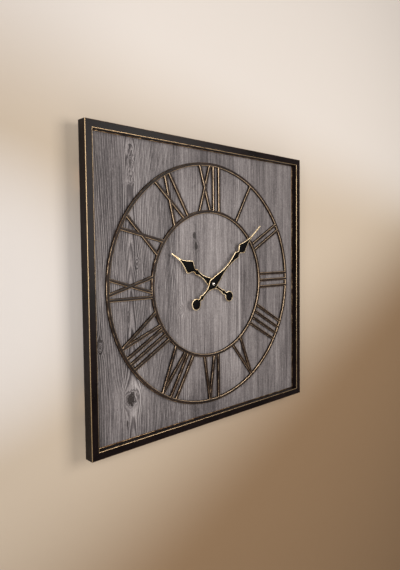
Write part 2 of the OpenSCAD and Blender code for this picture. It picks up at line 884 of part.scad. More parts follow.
// Half the width between two knots: ease 0 is an even bend at both ends, a
// positive ease leaves gently, a negative one arrives gently
function bend(t, ease) = ease == 0 ? t * t * (3 - 2 * t)
    : ease > 0 ? pow(t, ease) : 1 - pow(1 - t, -ease);

// Points down one edge of a blade whose knots are [distance, half width, ease]
function edge(knots, steps = 7) = concat(
    [for (i = [0:len(knots) - 2], k = [0:steps - 1]) let (a = knots[i], b = knots[i + 1], t = k / steps)
        [a[1] + (b[1] - a[1]) * bend(t, a[2]), a[0] + (b[0] - a[0]) * t]],
    [[knots[len(knots) - 1][1], knots[len(knots) - 1][0]]]);

module blade(knots) {
    side = edge(knots);
    polygon(concat(side, [for (i = [len(side) - 1:-1:0]) [-side[i][0], side[i][1]]]));
}

hub_r = 12;
// From the tail's disc to the tip: neck, bead, neck, hub, waist, shoulder, notch,
// widest place of the spade, foot of the thin tip, tip
minute_knots = [[-58, 5, 1], [-50, 3.3, 0], [-43.5, 5.8, 0], [-37, 3.1, 1], [-24, 2.9, 0],
    [0, 10.8, 0], [55, 3, 2], [97, 8.2, -2], [105, 3.9, 0], [119, 12.5, -1.7],
    [160, 1.9, 1], [minute_reach, 1.2, 1]];
minute_disc = [-64, 12.3];
hour_knots = [[-53, 5, 1], [-45, 3.7, 0], [-38.5, 5.4, 0], [-32, 3.3, 1], [-22, 3.2, 0],
    [0, 10.4, 0], [36, 3.4, 2], [53, 6.4, -2], [58.5, 4.1, 0], [74.5, 15.2, -1.4],
    [104, 2.1, 1], [hour_reach, 1.3, 1]];
hour_disc = [-59, 11.8];

// A spade hand pointing at twelve; disc is the tail's [distance, radius]
module spade_hand(knots, disc, bore_r) {
    difference() {
        union() {
            blade(knots);
            circle(hub_r);
            translate([0, disc[0]]) circle(disc[1]);
        }
        circle(bore_r);
    }
}

hour_bush_r = pipe_d / 2 + 1.4;
minute_bush_r = arbor_d / 2 + 1.2;

module hour_hand() {
    color("#17120f") slab(hour_hand_at, hour_hand_at + hand_t)
        rotate(-hour_at) spade_hand(hour_knots, hour_disc, hour_bush_r);
}

module minute_hand() {
    color("#17120f") slab(minute_hand_at, minute_hand_at + hand_t)
        rotate(-minute_at) spade_hand(minute_knots, minute_disc, minute_bush_r);
}

// A bush riveted into a hand, with its flange behind the hand
module hand_bush(at, inner, outer, flange_t) {
    color("#c7a34a") {
        slab(at, at + hand_t) difference() {
            circle(outer);
            circle(inner);
        }
        slab(at - flange_t, at) difference() {
            circle(outer + 1.2);
            circle(inner);
        }
    }
}

module hour_hand_bush() { hand_bush(hour_hand_at, pipe_d / 2, hour_bush_r, 0.9); }
module minute_hand_bush() { hand_bush(minute_hand_at, arbor_d / 2, minute_bush_r, 0.6); }

module hand_nut() {
    color("#d9d4c8") difference() {
        turned(hand_axis, cap_at, dome(cap_d / 2, cap_h, 10));
        bar(hand_axis, arbor_d / 2, cap_at - over, cap_at + cap_bore);
    }
}

frame_top_rail();
frame_bottom_rail();
frame_left_rail();
frame_right_rail();
plank_left();
plank_centre();
plank_right();
batten_upper();
batten_lower();
batten_screws();
corner_plates();
plate_screws();
hanger_plate();
wall_pads();
dial_outer_ring();
dial_inner_ring();
dial_pins();
numeral(1);  // numeral_01
numeral(2);  // numeral_02
numeral(3);  // numeral_03
numeral(4);  // numeral_04
numeral(5);  // numeral_05
numeral(6);  // numeral_06
numeral(7);  // numeral_07
numeral(8);  // numeral_08
numeral(9);  // numeral_09
numeral(10);  // numeral_10
numeral(11);  // numeral_11
numeral(12);  // numeral_12
movement_case();
movement_cover();
train_plate();
train_screws();
threaded_stem();
rubber_gasket();
brass_washer();
hex_nut();
stator();
coil_bobbin();
coil_winding();
circuit_board();
quartz_crystal();
positive_contact();
negative_contact();
battery_cell();
rotor();
intermediate_wheel();
seconds_wheel();
third_wheel();
centre_wheel();
minute_arbor();
minute_wheel();
hour_wheel();
setting_knob();
hour_hand();
hour_hand_bush();
minute_hand();
minute_hand_bush();
hand_nut();
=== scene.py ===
# %% [markdown]
# A square wall clock, about 60 cm each way: a mitred black frame round three stained
# planks, an open dial of rings and Roman numerals made from flat strips, two spade hands
# and a quartz movement behind. The clock's sizes are in millimetres, measured from the CAD
# model where they can be, and its meshes are divided by 1000 when they are made. The wall,
# the lights and the camera are in metres. X runs to the right, Z up, and the wall is the
# plane Y = 0, so a depth in front of the wall is a negative Y.

# %% Load the CAD model
import json
import math

import bpy
import numpy as np
from mathutils import Matrix, Vector

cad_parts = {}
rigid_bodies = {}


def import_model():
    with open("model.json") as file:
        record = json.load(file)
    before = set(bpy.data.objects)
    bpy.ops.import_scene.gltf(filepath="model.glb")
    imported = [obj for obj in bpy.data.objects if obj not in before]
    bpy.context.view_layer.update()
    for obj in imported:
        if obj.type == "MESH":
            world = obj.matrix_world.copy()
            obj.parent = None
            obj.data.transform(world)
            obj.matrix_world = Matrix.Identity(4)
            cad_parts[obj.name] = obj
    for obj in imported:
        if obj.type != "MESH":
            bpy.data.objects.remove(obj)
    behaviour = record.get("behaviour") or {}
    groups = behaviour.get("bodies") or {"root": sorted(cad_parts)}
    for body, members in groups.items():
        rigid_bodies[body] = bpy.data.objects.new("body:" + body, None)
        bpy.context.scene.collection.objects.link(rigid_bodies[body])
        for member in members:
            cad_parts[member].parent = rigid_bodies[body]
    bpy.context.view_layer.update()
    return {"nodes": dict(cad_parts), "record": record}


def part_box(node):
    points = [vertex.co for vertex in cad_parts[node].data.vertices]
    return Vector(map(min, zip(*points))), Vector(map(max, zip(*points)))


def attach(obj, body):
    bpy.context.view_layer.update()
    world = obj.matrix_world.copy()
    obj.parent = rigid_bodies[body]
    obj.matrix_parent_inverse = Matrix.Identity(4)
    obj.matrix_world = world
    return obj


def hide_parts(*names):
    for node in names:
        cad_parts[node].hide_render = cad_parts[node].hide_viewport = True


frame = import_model()
BODY = frame["nodes"]["plank_centre"].parent.name.removeprefix("body:")


def extent(node):
    """The lowest and highest corner of a CAD node, in millimetres."""
    low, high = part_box(node)
    return np.array(low) * 1000, np.array(high) * 1000


print("still body:", BODY, "with", len(frame["nodes"]), "nodes in the model")

# %% [markdown]
# All new pieces are skins. A skin is a row of closed sections, each a loop of points, with
# quads from every section to the next. It could be modelled by hand from a cube with loop
# cuts, but a formula for the point at (station, place round the section) says more in less
# space and is worked out for the whole grid at once. Numbers that belong to a point, such
# as how far the gold has been rubbed through there, travel with it as mesh attributes.

# %% Skins from closed sections
CREASE = 35


def grid_faces(rows, columns, ring):
    """Quads between neighbouring rows. A row always closes on itself; in a ring the last row
    also joins the first."""
    row = np.arange(rows if ring else rows - 1)[:, None]
    column = np.arange(columns)[None, :]
    next_row, next_column = (row + 1) % rows, (column + 1) % columns
    corners = [row * columns + column, row * columns + next_column]
    corners += [next_row * columns + next_column, next_row * columns + column]
    return np.stack(corners, -1).reshape(-1, 4)


def enclosed_volume(points, faces):
    """A sixth of the sum of (a x b) . c over the faces' triangles: positive if they face out."""
    a, b, c, d = (points[faces[:, k]] for k in range(4))
    fan = np.einsum("ij,ij->i", np.cross(a, b), c) + np.einsum("ij,ij->i", np.cross(a, c), d)
    return fan.sum() / 6


def skin(name, sections, finish, slot, stands_for=(), body=BODY, ring=False, **told):
    """Makes a closed piece from sections[station, place, xyz]. A ring joins its last section
    to its first; otherwise a flat face closes each end. told holds arrays of one number per
    point. Edges sharper than CREASE degrees stay sharp."""
    rows, columns, _ = sections.shape
    points = sections.reshape(-1, 3) / 1000
    faces = grid_faces(rows, columns, ring)
    ends = [] if ring else [np.arange(columns)[::-1], np.arange(columns) + (rows - 1) * columns]
    if enclosed_volume(points - points.mean(0), faces) < 0:
        faces, ends = faces[:, ::-1], [end[::-1] for end in ends]
    loops = np.concatenate([faces.ravel(), *ends])
    starts = np.arange(0, faces.size + 1, 4)[: len(faces) + len(ends)]
    if ends:
        starts[-1] = faces.size + columns
    mesh = bpy.data.meshes.new(name)
    mesh.vertices.add(len(points))
    mesh.vertices.foreach_set("co", points.astype(np.float32).ravel())
    mesh.loops.add(len(loops))
    mesh.loops.foreach_set("vertex_index", loops.astype(np.int32))
    mesh.polygons.add(len(starts))
    mesh.polygons.foreach_set("loop_start", starts.astype(np.int32))
    mesh.update(calc_edges=True)
    mesh.polygons.foreach_set("use_smooth", np.ones(len(starts), bool))
    mesh.set_sharp_from_angle(angle=math.radians(CREASE))
    for key, values in told.items():
        layer = mesh.attributes.new(key, "FLOAT", "POINT")
        spread = np.broadcast_to(values, (rows, columns))
        layer.data.foreach_set("value", spread.astype(np.float32).ravel())
    mesh.materials.append(finish)
    made = bpy.data.objects.new(name, mesh)
    bpy.context.scene.collection.objects.link(made)
    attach(made, body)
    if stands_for:
        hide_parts(*stands_for)
    return made


# %% [markdown]
# Wood and worn paint need numbers that wander smoothly and never repeat. A cloud is the
# plainest such number: random values on a lattice, blended between its crossings. It is
# seeded, so every run of the script gives the same clock.

# %% Clouds
LATTICE = 128


def cloud(u, v, seed):
    """A smooth wandering number from -1 to 1 over (u, v), with features one unit across:
    lattice values mixed by 3t^2 - 2t^3 along each axis."""
    lattice = np.random.default_rng(seed).uniform(-1, 1, (LATTICE, LATTICE))
    i, j = np.floor(u).astype(int), np.floor(v).astype(int)
    s, t = u - i, v - j
    s, t = s * s * (3 - 2 * s), t * t * (3 - 2 * t)
    i, i_next, j, j_next = i % LATTICE, (i + 1) % LATTICE, j % LATTICE, (j + 1) % LATTICE
    near = lattice[i, j] * (1 - s) + lattice[i_next, j] * s
    far = lattice[i, j_next] * (1 - s) + lattice[i_next, j_next] * s
    return near * (1 - t) + far * t


def rise(x, low, high):
    """0 below low, 1 above high and a smooth step between them."""
    t = np.clip((x - low) / (high - low), 0, 1)
    return t * t * (3 - 2 * t)


# %% [markdown]
# A finish is a small program of shader nodes. Wiring nodes by name is hard to read, so one
# class wraps a socket and lets Python's own operators add the Math nodes: mask * 0.5 + 0.2
# is then both the sum and its nodes. Every other node comes from one method, add(). Values
# that are the same all over a surface are set on the shader's own sockets.

# %% Shader sums as Python


class Wire:
    """A number or colour that varies over a surface: one output socket of a finish."""

    def __init__(self, finish, socket):
        self.finish, self.socket = finish, socket

    def maths(self, operation, *others):
        return self.finish.add("Math", self, *others, operation=operation)

    def __add__(self, other):
        return self.maths("ADD", other)

    def __sub__(self, other):
        return self.maths("SUBTRACT", other)

    def __rsub__(self, other):
        return self.finish.add("Math", other, self, operation="SUBTRACT")

    def __mul__(self, other):
        return self.maths("MULTIPLY", other)

    def __pow__(self, other):
        return self.maths("POWER", other)

    __radd__, __rmul__ = __add__, __mul__

    def step(self, low, high):
        """0 where this is below low, 1 above high, and smooth between."""
        return self.finish.add("MapRange", self, low, high, 0.0, 1.0, interpolation_type="SMOOTHSTEP")


class Finish:
    """A material in the making. Its own sockets take constants by name, and feed() takes wires."""

    def __init__(self, name, **constants):
        self.material = bpy.data.materials.new(name)
        self.material.use_nodes = True
        self.nodes = self.material.node_tree.nodes
        self.shader = self.nodes["Principled BSDF"]
        for key, value in constants.items():
            self.shader.inputs[key.replace("_", " ")].default_value = value

    def add(self, kind, *values, out=0, stops=None, named=None, **settings):
        """Adds a node: settings first, then the values or wires of its sockets, in order or by name."""
        node = self.nodes.new("ShaderNode" + kind)
        for key, value in settings.items():
            setattr(node, key, value)
        if stops:
            while len(node.color_ramp.elements) < len(stops):
                node.color_ramp.elements.new(1.0)
            for element, (place, colour) in zip(node.color_ramp.elements, stops):
                element.position, element.color = place, (*colour, 1.0)
        for key, value in [*enumerate(values), *(named or {}).items()]:
            self.join(value, node.inputs[key])
        return Wire(self, node.outputs[out])

    def join(self, value, socket):
        if isinstance(value, Wire):
            self.material.node_tree.links.new(value.socket, socket)
        elif socket.type == "RGBA":
            socket.default_value = (*value, 1.0)
        else:
            socket.default_value = value

    def feed(self, **wires):
        for key, wire in wires.items():
            self.join(wire, self.shader.inputs[key.replace("_", " ")])
        return self.material

    def told(self, key):
        """The number that the mesh carries for each point under that name."""
        return self.add("Attribute", attribute_name=key, out=2)

    def axis(self, k):
        """Where the surface lies along X, Y or Z (0, 1 or 2), in metres."""
        return self.add("SeparateXYZ", self.add("TexCoord", out=3), out=k)

    def noise(self, size, detail=3.0, rough=0.55, stretch=(1, 1, 1)):
        """Wandering 0 to 1 with features about size millimetres across, longer along stretched axes."""
        place = self.add("TexCoord", out=3)
        scale = tuple(1000 / (size * s) for s in stretch)
        scaled = self.add("Mapping", named={"Vector": place, "Scale": scale})
        names = {"Vector": scaled, "Scale": 1.0, "Detail": detail, "Roughness": rough}
        return self.add("TexNoise", named=names)

    def mix(self, share, a, b):
        """Colour a where share is 0 and colour b where it is 1."""
        return self.add("Mix", data_type="RGBA", named={0: share, 6: a, 7: b}, out=2)

    def bump(self, height, depth):
        """The shading normal of a surface raised by height times depth millimetres."""
        return self.add("Bump", named={"Strength": 1.0, "Distance": depth / 1000, "Height": height})


# %% [markdown]
# The frame is black paint over wood, sanded back along every edge until a gold undercoat
# shows. The rails carry a number called rub: 1 on an edge and 0 a little way off it. The
# paint's own unevenness decides where along the edge the gold really shows, so the line
# breaks and widens as a hand-rubbed one does.

# %% Rubbed paint


def rubbed_paint(name, dark, warm, dull, bright, gloss, shine, broken):
    """Dark paint over gold: gold shows where rub times a wandering number passes a threshold,
    dull where it is only just through and bright where it is rubbed most."""
    finish = Finish(name, IOR=1.5, Specular_IOR_Level=shine)
    blotch = finish.noise(55, 4)
    wear = finish.noise(14, 5, 0.6)
    fine = finish.noise(0.9, 3, 0.6)
    through = finish.told("rub") * (wear * broken + (1 - broken / 2))
    shown = through.step(0.46, 0.62)
    paint = finish.mix(blotch.step(0.3, 0.75), dark, warm)
    leaf = finish.mix((through + (fine - 0.5) * 0.3).step(0.55, 0.85), dull, bright)
    rough = gloss + (fine - 0.5) * 0.18 + (blotch - 0.5) * 0.16
    relief = fine * 0.6 + wear * 0.4
    return finish.feed(
        Base_Color=finish.mix(shown, paint, leaf),
        Metallic=shown * 0.7,
        Roughness=rough * (1 - shown * 0.15),
        Normal=finish.bump(relief, 0.05),
    )


frame_paint = rubbed_paint("frame_paint", (0.0040, 0.0022, 0.0022), (0.010, 0.0055, 0.0055),
                           (0.13, 0.065, 0.028), (0.50, 0.36, 0.21), 0.30, 0.10, 1.4)
strip_paint = rubbed_paint("strip_paint", (0.009, 0.0055, 0.004), (0.030, 0.018, 0.012),
                           (0.13, 0.070, 0.036), (0.70, 0.52, 0.34), 0.42, 0.16, 1.5)

# %% [markdown]
# Each rail is a bar with a soft arris on its front edges and a slim bead where it meets the
# planks. One section does for all four: it is drawn once for the bottom rail, from the
# outer side inwards, and turned by quarter turns. The ends lie on the mitre: a point that
# is s in from the outer side stops s short of the corner.

# %% Rails
ARRIS = 0.8
RUB_REACH = 0.45
MITRE_GAP = 0.12
BEAD, BEAD_ROUND = 1.4, 0.8
RAIL_STATIONS = 90
HAND_SANDED = 0.12


def arc(middle, radius, start, stop, steps=5):
    """Points on a circle from one angle to the other, in degrees, as (across, depth)."""
    angle = np.radians(np.linspace(start, stop, steps))
    return np.stack([middle[0] + radius * np.cos(angle), middle[1] + radius * np.sin(angle)], -1)


def rail_section(face, back, front, plank_front, outer_rub):
    """The rail's loop as (in from the outer side, depth), with its rub at each point."""
    outer = arc((ARRIS, front - ARRIS), ARRIS, 180, 90)
    inner = arc((face - ARRIS, front - ARRIS), ARRIS, 90, 0)
    bead = arc((face + BEAD - BEAD_ROUND, plank_front + BEAD_ROUND), BEAD_ROUND, 90, 0, 4)
    off = ARRIS + RUB_REACH
    loop = [(0, back), (0, (back + front) / 2), (0, front - off)]
    loop += [*outer, (off, front), (face / 2, front), (face - off, front), *inner]
    loop += [(face, front - off), (face, (plank_front + front) / 2)]
    loop += [(face, plank_front + 2.4), (face, plank_front + 1.7), *bead]
    loop += [(face + BEAD, plank_front), (face, plank_front), (face, back)]
    rub = [0, 0, 0, *[outer_rub] * 5, 0, 0, 0, *[0.9] * 5, 0, 0, 0, 0.2, *[0.62] * 4, 0, 0, 0]
    return np.array(loop), np.array(rub)


def rail(name, node, quarter, half_length, half_across, section, rub):
    """Point (station, place) lies at the station's share of the length and at the section's s
    and depth, and is then turned by so many quarter turns. Sanding by hand left the faces a
    little uneven, but not the plane of the outer side."""
    share = np.linspace(-1, 1, RAIL_STATIONS)[:, None]
    s, depth = section[:, 0], section[:, 1]
    along = share * (half_length - s - MITRE_GAP)
    uneven = HAND_SANDED * cloud(along / 35, depth / 9 + 7 * quarter, 3) * (s > 0)
    across = -half_across + s + uneven
    angle = math.radians(90 * quarter)
    x = along * math.cos(angle) - across * math.sin(angle)
    z = along * math.sin(angle) + across * math.cos(angle)
    y = np.broadcast_to(-depth, x.shape)
    return skin(name, np.stack([x, y, z], -1), frame_paint, "frame_paint", [node], rub=rub)


rail_low, rail_high = extent("frame_bottom_rail")
half_w, half_h = rail_high[0], -rail_low[2]
face = rail_high[2] - rail_low[2]
plank_low, plank_high = extent("plank_centre")
outer_rubs = {"bottom": 0.62, "right": 0.62, "top": 0.62, "left": 1.0}
for quarter, (side, outer_rub) in enumerate(outer_rubs.items()):
    halves = (half_w, half_h) if quarter % 2 == 0 else (half_h, half_w)
    section = rail_section(face, -rail_high[1], -rail_low[1], -plank_low[1], outer_rub)
    rail(f"rail_{side}", f"frame_{side}_rail", quarter, *halves, *section)
print(f"rails: face {face:.1f}, outside {2 * half_w:.0f} by {2 * half_h:.0f}")

# %% [markdown]
# A plank's figure comes from how it was cut. Growth rings are cones round the tree's pith,
# so on a flat board the ring number is the distance to the pith, plus a share of the
# height for the taper. Far from the pith that gives straight grain, near it the pointed
# arches of a plain-sawn board. A knot is a branch: grain parts and closes round it like
# water round a post, and inside it the count starts again from its own middle. The ring
# number is smooth, so a grid can carry it, and the shader cuts it into fine dark lines.

# %% Wood figure
# a board's knots are (x, z) with a radius, and its patches (x, z, reach in x, reach in z,
# how much paler): the wood's own tone, except two dark ones at the centre board's ends, which
# are painted shade beside the top and bottom rails


def round_post(x, z, knot):
    """How far a knot pushes the grain aside, and the distance from its middle in its own radii."""
    dx, dz = x - knot["x"], (z - knot["z"]) / knot["long"]
    far = np.sqrt(dx**2 + dz**2) / knot["r"]
    push = dx / np.maximum(far, 1) ** 2
    return push * (0.35 + 0.65 / (1 + 0.15 * far**2)), far


def wood_figure(x, z, board):
    """Ring number, how dark its lines are, knot darkness and tone over a board's face. The tone is the
    wood's own, plus painted shade at the centre board's ends.
    """
    seed = board["seed"]
    moved = x + 3.2 * cloud(x / 45, z / 170, seed) + 0.9 * cloud(x / 12, z / 55, seed + 1)
    moved = moved + 0.35 * cloud(x / 4, z / 18, seed + 7)
    knot = np.zeros_like(moved)
    halo = np.zeros_like(moved)
    ring = np.zeros_like(moved)
    for k in board["knots"]:
        push, far = round_post(x, z, k)
        moved = moved - push
        ragged = far + 0.22 * cloud(x / 5, z / 7, seed + 9) + 0.12 * cloud(x / 2, z / 3, seed + 10)
        ring = ring + k["rings"] * np.minimum(ragged, 1)
        core = k["dark"] * (1 - rise(ragged, 0.1, 1.1))
        rim = k["rim"] * rise(ragged, 0.6, 0.95) * (1 - rise(ragged, 1.0, 1.3))
        knot = np.maximum(knot, np.maximum(core, rim))
        pale = rise(far, 1.0, 1.5) * (1 - rise(far, 1.5, 2.8))
        halo = halo + k["halo"] * pale * (0.6 + 0.4 * np.tanh(x - k["x"]))
    radius = np.sqrt((moved - board["pith"]) ** 2 + board["depth"] ** 2)
    ring = ring + (radius + board["taper"] * z) / board["pitch"] + 0.35 * cloud(x / 30, z / 120, seed + 2)
    faint = 0.35 * cloud(x / 26, z / 70, seed + 3) + 0.25 * cloud(x / 8, z / 40, seed + 8)
    line = board["strong"] * (0.75 + faint)
    tone = 0.5 * cloud(x / 34, z / 210, seed + 4) + 0.35 * cloud(x / 8, z / 140, seed + 5) + halo
    # each patch adds the wood's own tone, except the centre board's two at its ends, which add painted shade
    # beside the top and bottom rails
    for px, pz, rx, rz, amount in board["tone_and_shade_patches"]:
        tone = tone + amount * np.exp(-(((x - px) / rx) ** 2) - ((z - pz) / rz) ** 2)
    return ring, np.clip(line, 0, 1.3), knot, tone


def knot_at(x, z, r, long=1.6, dark=0.9, rings=3.0, halo=0.35, rim=0.15):
    """A knot of radius r across the grain and r times long along it."""
    return dict(x=x, z=z, r=r, long=long, dark=dark, rings=rings, halo=halo, rim=rim)


left_board = dict(
    seed=11, pith=-203, depth=9, taper=0.062, pitch=3.4, strong=1.35,
    knots=[knot_at(-199, 232, 9.0, 4.4, 0.1, 3.0, 0.2), knot_at(-200, 236, 2.6, 5.5, 0.8, 1.0, 0.0),
           knot_at(-206, -210, 15, 1.3, 1.2, 3.0, 0.7), knot_at(-271, -100, 6.5, 2.0, 0.35, 3.0, 0.2, 0.8),
           knot_at(-194, 203, 2.5, 2.4, 0.7, 1.5, 0.1), knot_at(-238, -223, 2.0, 1.5, 0.7, 1.0),
           knot_at(-210, -56, 2.6, 6.0, 0.6, 1.5), knot_at(-188, 48, 5.0, 2.4, 0.12, 2.0, 0.1),
           knot_at(-174, 16, 3.6, 3.0, 0.25, 1.5, 0.1), knot_at(-216, -256, 2.0, 5.0, 0.8, 1.0)],
    tone_and_shade_patches=[(-250, 215, 45, 90, -0.45), (-160, 60, 30, 120, 0.35), (-185, -200, 22, 50, 0.4),
             (-240, -250, 50, 60, -0.35), (-262, 20, 16, 120, 0.25), (-120, -60, 20, 150, -0.15)],
)
centre_board = dict(
    seed=23, pith=-460, depth=60, taper=0.02, pitch=4.6, strong=0.42,
    knots=[knot_at(-43, 104, 6.5, 1.7, 1.0, 1.5, 0.1), knot_at(-39, 82, 9.5, 1.3, 1.1, 1.5, 0.1),
           knot_at(-82, -50, 8.0, 1.2, 0.1, 3.0, 0.5), knot_at(-45, 278, 2.5, 2.0, 0.4, 1.0),
           knot_at(-46, -266, 3.2, 1.6, 0.6, 1.0, 0.1), knot_at(-17, -141, 2.0, 2.0, 0.5, 1.0, 0.1)],
    # the two darkest, across the ends at z -265 and 262, are painted shade beside the bottom and top rails;
    # the rest are the wood's own tone
    tone_and_shade_patches=[(-41, 92, 10, 36, -1.0), (-41, 60, 13, 110, -0.3), (-75, 60, 20, 190, 0.25),
             (30, 70, 36, 150, 0.35), (0, -265, 90, 60, -1.3), (92.5, -40, 2.6, 170, 2.2),
             (0, 262, 90, 50, -1.2), (60, -60, 26, 120, 0.15)],
)
right_board = dict(
    seed=37, pith=520, depth=40, taper=0.012, pitch=5.2, strong=0.4,
    knots=[knot_at(262, -40, 2.2, 3.0, 0.5, 1.0)],
    tone_and_shade_patches=[(190, 0, 130, 600, -0.75), (104, 0, 10, 150, -0.5), (240, 235, 60, 70, -0.35),
             (205, -120, 14, 160, 0.45), (165, 60, 12, 170, 0.35), (255, -120, 6, 120, 0.5)],
)

# %% [markdown]
# The stain is a thin grey wash: pale on early wood, darker where late wood and knots drank
# it. The shader takes the fraction of the ring number as the place within one year, and
# adds what is finer than the grid: short dark pores, specks in the knots and pale fibres
# drawn out along the grain.

# %% Stained wood


def stained_wood():
    finish = Finish("stained_wood", IOR=1.45, Specular_IOR_Level=0.35)
    number, line, knot, tone = (finish.told(key) for key in ("year", "line", "knot", "tone"))
    fibre = finish.noise(0.55, 4, 0.6, (1, 1, 60))
    streak = finish.noise(2.6, 4, 0.6, (1, 1, 45))
    pore = finish.noise(0.9, 2, 0.5, (1, 1, 18)).step(0.60, 0.72)
    scuff = finish.noise(4, 6, 0.75, (1, 1, 4)).step(0.55, 0.70)
    speck = finish.noise(2.4, 4, 0.7, (1, 1, 1.4))
    year = (number + (streak - 0.5) * 0.5).maths("FRACT")
    late = year.step(0.25, 0.88) * (1 - year.step(0.9, 1.0)) * line
    light = 0.54 + tone * 0.15 + (streak - 0.5) * 0.75 + (fibre - 0.5) * 0.5 + (speck - 0.5) * 0.5
    light = light - late * (0.24 + speck * 0.42) - pore * 0.2 + scuff * 0.17
    stops = [(0.0, (0.026, 0.022, 0.024)), (0.3, (0.105, 0.092, 0.094)),
             (0.6, (0.275, 0.251, 0.251)), (1.0, (0.52, 0.49, 0.485))]
    wash = finish.add("ValToRGB", light, stops=stops)
    drunk = (knot + (speck - 0.5) * 2.0).step(0.42, 0.72) * knot.step(0.04, 0.25)
    relief = fibre * 0.5 + streak * 0.4 + late * 0.3 - pore * 0.6 - drunk * 0.5
    return finish.feed(
        Base_Color=finish.mix(drunk * 0.92, wash, (0.016, 0.011, 0.010)),
        Roughness=0.62 + (fibre - 0.5) * 0.3 - drunk * 0.12,
        Normal=finish.bump(relief, 0.16),
    )


wood = stained_wood()

# %% Planks
EASE = 0.9
STEP_X, STEP_Z = 0.8, 2.4
BACK_EVERY = 3  # the back has one column of points for this many on the face
SET_BACK, UNEVEN = 0.12, 0.1
LATE_PROUD, KNOT_PROUD = 0.08, 0.12


def plank(name, node, board):
    """Point (station, place): z steps up the board, and the loop runs across its face,
    down one edge, across the back and up the other. The face is lowered by a quarter circle
    at its edges and by the figure's relief, where late wood and knots stand proud."""
    low, high = extent(node)
    x = np.linspace(low[0], high[0], int((high[0] - low[0]) / STEP_X))
    near_edge = np.minimum(x - low[0], high[0] - x)
    drop = EASE - np.sqrt(EASE**2 - np.clip(EASE - near_edge, 0, EASE) ** 2)
    z = np.linspace(low[2], high[2], int((high[2] - low[2]) / STEP_Z))[:, None]
    figure = wood_figure(x[None, :], z, board)
    ring, line, knot, _ = figure
    uneven = SET_BACK + UNEVEN * cloud(x / 60, z / 200, board["seed"] + 6)
    relief = LATE_PROUD * line * (1 + np.cos(2 * np.pi * ring)) + KNOT_PROUD * (1 - knot)
    front = low[1] + drop + uneven + relief
    back_x = np.linspace(high[0], low[0], len(x) // BACK_EVERY)
    loop_x = np.concatenate([x, back_x])
    back_y = np.full((len(z), len(back_x)), high[1])
    points_y = np.concatenate([front, back_y], 1)
    points_x = np.broadcast_to(loop_x, points_y.shape)
    points_z = np.broadcast_to(z, points_y.shape)
    behind = wood_figure(back_x[None, :], z, board)
    keys = ("year", "line", "knot", "tone")
    told = {key: np.concatenate(pair, 1) for key, *pair in zip(keys, figure, behind)}
    return skin(name, np.stack([points_x, points_y, points_z], -1), wood, "plank_wood", [node], **told)


for side, board in {"left": left_board, "centre": centre_board, "right": right_board}.items():
    made = plank(f"board_{side}", f"plank_{side}", board)
    print(made.name, len(made.data.vertices), "points")

# %% [markdown]
# The dial is flat strip on edge: two hoops, and the strokes of the numerals between them.
# A hoop is a section carried round the hand axis; a stroke is the same section carried
# along a line. A stroke stands a hair lower than the hoops, and the second limb of a V or
# an X a hair lower still, so that each joint shows which strip was laid over the other.

# %% Strips and hoops
SHOULDER = 1.3
CROWN, RIDGE, RIDGE_SUNK = 0.3, 0.7, 0.05
HOOP_SHARE = 0.985  # the hoop's width as a share of the CAD ring's, which leaves room for its ripple


def node_points(node):
    """A CAD node's points, in millimetres."""
    mesh = frame["nodes"][node].data
    points = np.empty(len(mesh.vertices) * 3, np.float32)
    mesh.vertices.foreach_get("co", points)
    return points.reshape(-1, 3).astype(float) * 1000


def from_axis(node):
    """The nearest and farthest that a node's points come to the hand axis."""
    points = node_points(node)
    away = np.hypot(points[:, 0], points[:, 2])
    return away.min(), away.max()


def strip_section(width, height):
    """A strip's loop as (across, height above the planks), with its rub at each point: round
    shoulders of radius SHOULDER, the first rubbed the most, and a face that rises by CROWN to
    a ridge along its middle."""
    w, r, low = width / 2, SHOULDER, height - CROWN
    left = arc((-w + r, low - r), r, 180, 90, 7)
    right = arc((w - r, low - r), r, 90, 0, 7)
    half_ridge = [(-RIDGE, height - RIDGE_SUNK), (-RIDGE / 2, height)]
    ridge = [*half_ridge, (RIDGE / 2, height), (RIDGE, height - RIDGE_SUNK)]
    loop = [(-w, 0), *left, *ridge, *right, (w, 0)]
    left_rub, ridge_rub = [0, 0.1, 0.5, 1, 1, 0.65, 0.15], [0.1, 0.3, 0.3, 0.1]
    right_rub = [0.1, 0.35, 0.66, 0.66, 0.3, 0, 0]
    return np.array(loop, float), np.array([0, *left_rub, *ridge_rub, *right_rub, 0], float)


board_front = -plank_low[1]
strip_height = -extent("dial_outer_ring")[0][1] - board_front


def hoop(name, node, stations):
    """Point (station, place) lies at the hoop's middle radius plus the section's across, turned
    about Y by the station's angle; a slow ripple keeps the circle from looking machined."""
    inside, outside = from_axis(node)
    loop, rub = strip_section(outside - inside, strip_height)
    turn = np.linspace(0, 2 * np.pi, stations, endpoint=False)[:, None]
    ripple = (0.08 * np.sin(7 * turn + outside) + 0.06 * np.sin(17 * turn)) * (loop[:, 1] > 0)
    radius = (inside + outside) / 2 + loop[:, 0] * HOOP_SHARE + ripple
    y = np.broadcast_to(-board_front - loop[:, 1], radius.shape)
    points = np.stack([radius * np.sin(turn), y, radius * np.cos(turn)], -1)
    return skin(name, points, strip_paint, "dial_bronze", [node], ring=True, rub=rub)


hoop("hoop_outer", "dial_outer_ring", 360)
hoop("hoop_inner", "dial_inner_ring", 240)
numeral_foot, numeral_top = from_axis("numeral_06")
print(f"numerals run from {numeral_foot:.1f} to {numeral_top:.1f} from the hand axis")

# %% Numerals
STROKE = 6.5
SPREAD = 14
ENTRY = 1.0
LOWER, LOWER_CROSSING = 0.25, 2.2
STROKE_STATIONS = 40
HANDLED = 0.3


def upright(x):
    return [(x, x)]


def vee(x):
    return [(x, x - SPREAD), (x, x + SPREAD)]


def ex(x):
    return [(x - SPREAD, x + SPREAD), (x + SPREAD, x - SPREAD)]


